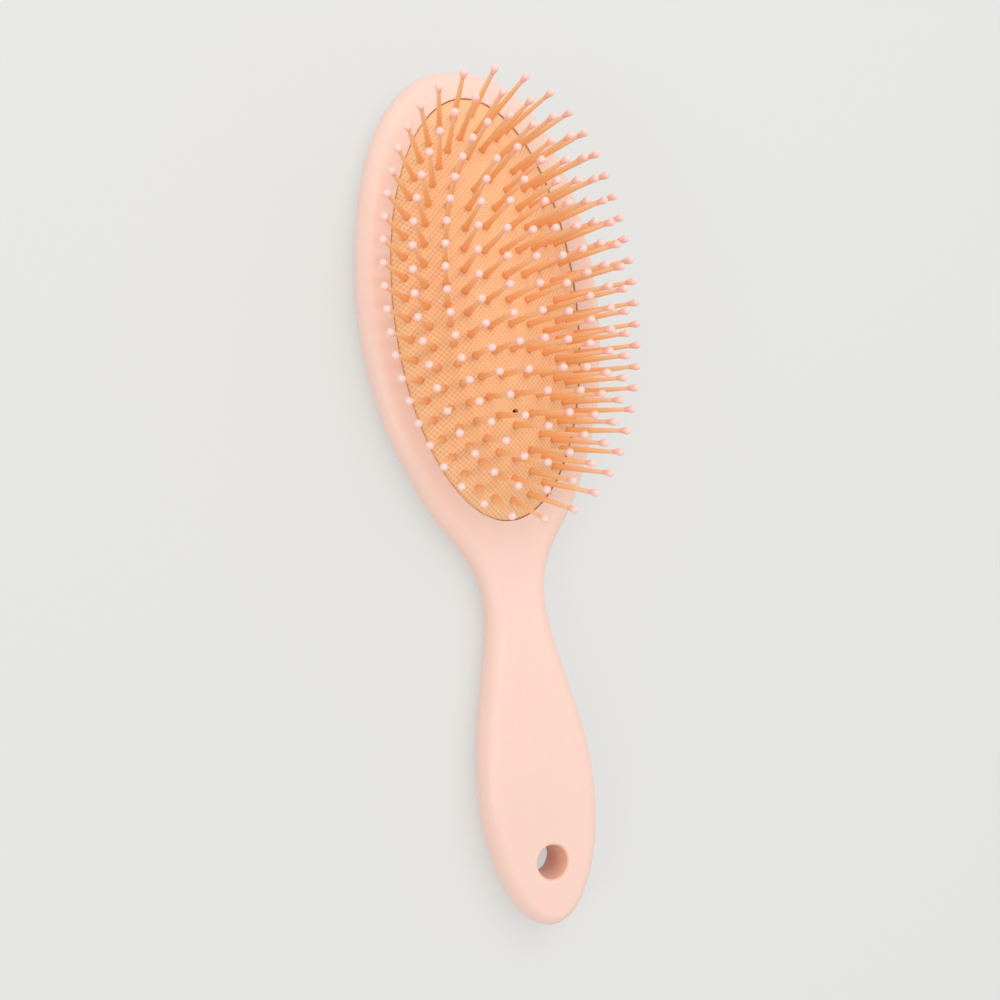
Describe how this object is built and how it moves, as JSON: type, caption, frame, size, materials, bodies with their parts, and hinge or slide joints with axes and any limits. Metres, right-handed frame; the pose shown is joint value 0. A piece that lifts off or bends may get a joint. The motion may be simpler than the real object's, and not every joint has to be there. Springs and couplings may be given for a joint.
{
  "type": "hair brush",
  "caption": "Oval cushion hair brush for detangling: flat plastic body with a hang hole, sprung rubber cushion and tapered pins with ball tips.",
  "frame": {"origin": "on the flat back's plane, under the middle of the bounding box", "axes": "+Y along the brush from the handle to the head's end, +Z out of the face along the pins, +X across the brush"},
  "size_m": [0.0772, 0.241, 0.0432],
  "materials": {
    "body_plastic": "satin",
    "cushion_rubber": "fine woven texture, matte",
    "pin_plastic": "satin",
    "tip_plastic": "gloss"
  },
  "bodies": {
    "brush": {"handle_body": "body_plastic", "cushion": "cushion_rubber"},
    "middle_row": {"middle_row_pins": "pin_plastic", "middle_row_tips": "tip_plastic"},
    "ring_1": {"ring_1_pins": "pin_plastic", "ring_1_tips": "tip_plastic"},
    "ring_2": {"ring_2_pins": "pin_plastic", "ring_2_tips": "tip_plastic"},
    "ring_3": {"ring_3_pins": "pin_plastic", "ring_3_tips": "tip_plastic"},
    "ring_4": {"ring_4_pins": "pin_plastic", "ring_4_tips": "tip_plastic"},
    "ring_5": {"ring_5_pins": "pin_plastic", "ring_5_tips": "tip_plastic"}
  },
  "joints": [
    {"name": "cushion_press", "type": "slide", "parent": "brush", "child": "middle_row", "axis": [0, 0, -1], "range_m": [0, 0.004], "stiffness_N_per_m": 300, "deforming": ["cushion"]},
    {"name": "ring_1_press", "type": "slide", "parent": "brush", "child": "ring_1", "axis": [0, 0, -1], "range_m": [0, 0.00376], "stiffness_N_per_m": 300},
    {"name": "ring_2_press", "type": "slide", "parent": "brush", "child": "ring_2", "axis": [0, 0, -1], "range_m": [0, 0.00332], "stiffness_N_per_m": 300},
    {"name": "ring_3_press", "type": "slide", "parent": "brush", "child": "ring_3", "axis": [0, 0, -1], "range_m": [0, 0.00268], "stiffness_N_per_m": 300},
    {"name": "ring_4_press", "type": "slide", "parent": "brush", "child": "ring_4", "axis": [0, 0, -1], "range_m": [0, 0.00188], "stiffness_N_per_m": 300},
    {"name": "ring_5_press", "type": "slide", "parent": "brush", "child": "ring_5", "axis": [0, 0, -1], "range_m": [0, 0.001], "stiffness_N_per_m": 300}
  ],
  "couplings": [
    {"joint": "ring_1_press", "follows": "cushion_press", "ratio": 0.94},
    {"joint": "ring_2_press", "follows": "cushion_press", "ratio": 0.83},
    {"joint": "ring_3_press", "follows": "cushion_press", "ratio": 0.67},
    {"joint": "ring_4_press", "follows": "cushion_press", "ratio": 0.47},
    {"joint": "ring_5_press", "follows": "cushion_press", "ratio": 0.25}
  ]
}
